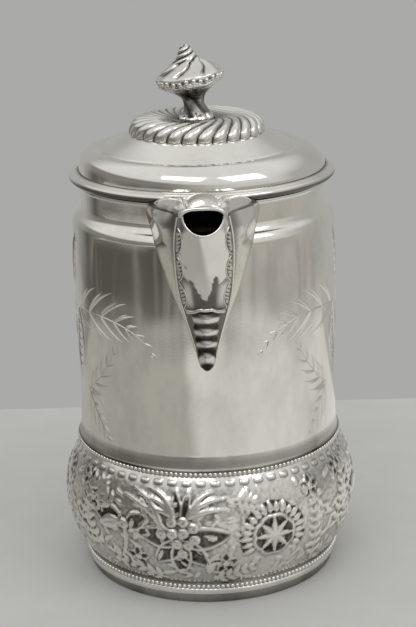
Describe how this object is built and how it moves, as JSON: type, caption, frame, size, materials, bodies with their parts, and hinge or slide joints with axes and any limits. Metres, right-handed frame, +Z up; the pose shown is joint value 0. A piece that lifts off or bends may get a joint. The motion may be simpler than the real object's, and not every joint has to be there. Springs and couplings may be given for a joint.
{
  "type": "coffee pot",
  "caption": "Silver-plated coffee pot with a bulged chased base, straight drum, beak spout, insulated ear handle and a hinged domed lid with a leaning turban finial.",
  "frame": {"origin": "centre of the foot on the plane that the pot stands on", "axes": "+Z up, -Y towards the spout, +Y towards the handle, +X to the right seen from the spout's side"},
  "size_m": [0.1506, 0.2231, 0.2696],
  "materials": {
    "silver_plate": "worn polished silver plate with tarnish in the recesses",
    "insulator": "smooth ivory-coloured insulator",
    "brass_fixing": "plain turned brass"
  },
  "bodies": {
    "pot": {"foot_ring": "silver_plate", "bottom_plate": "silver_plate", "lower_bead_ring": "silver_plate", "base_band": "silver_plate", "upper_bead_ring": "silver_plate", "body_drum": "silver_plate", "mouth_rim_wire": "silver_plate", "spout_shell": "silver_plate", "spout_drop": "silver_plate", "handle_upper_socket": "silver_plate", "handle_upper_insulator": "insulator", "handle_grip": "silver_plate", "handle_lower_insulator": "insulator", "handle_lower_socket": "silver_plate", "handle_pins": "brass_fixing", "hinge_body_leaf": "silver_plate", "hinge_pin": "brass_fixing"},
    "lid": {"hinge_lid_leaf": "silver_plate", "lid_flange": "silver_plate", "lid_bezel": "silver_plate", "lid_dome": "silver_plate", "spout_cover": "silver_plate", "gadroon_ring": "silver_plate", "finial": "silver_plate", "finial_washer": "brass_fixing", "finial_nut": "brass_fixing"}
  },
  "joints": [
    {"name": "lid_hinge", "type": "hinge", "parent": "pot", "child": "lid", "pos_m": [0, 0.0694, 0.2064], "axis": [-1, 0, 0], "range_deg": [0, 105]}
  ]
}
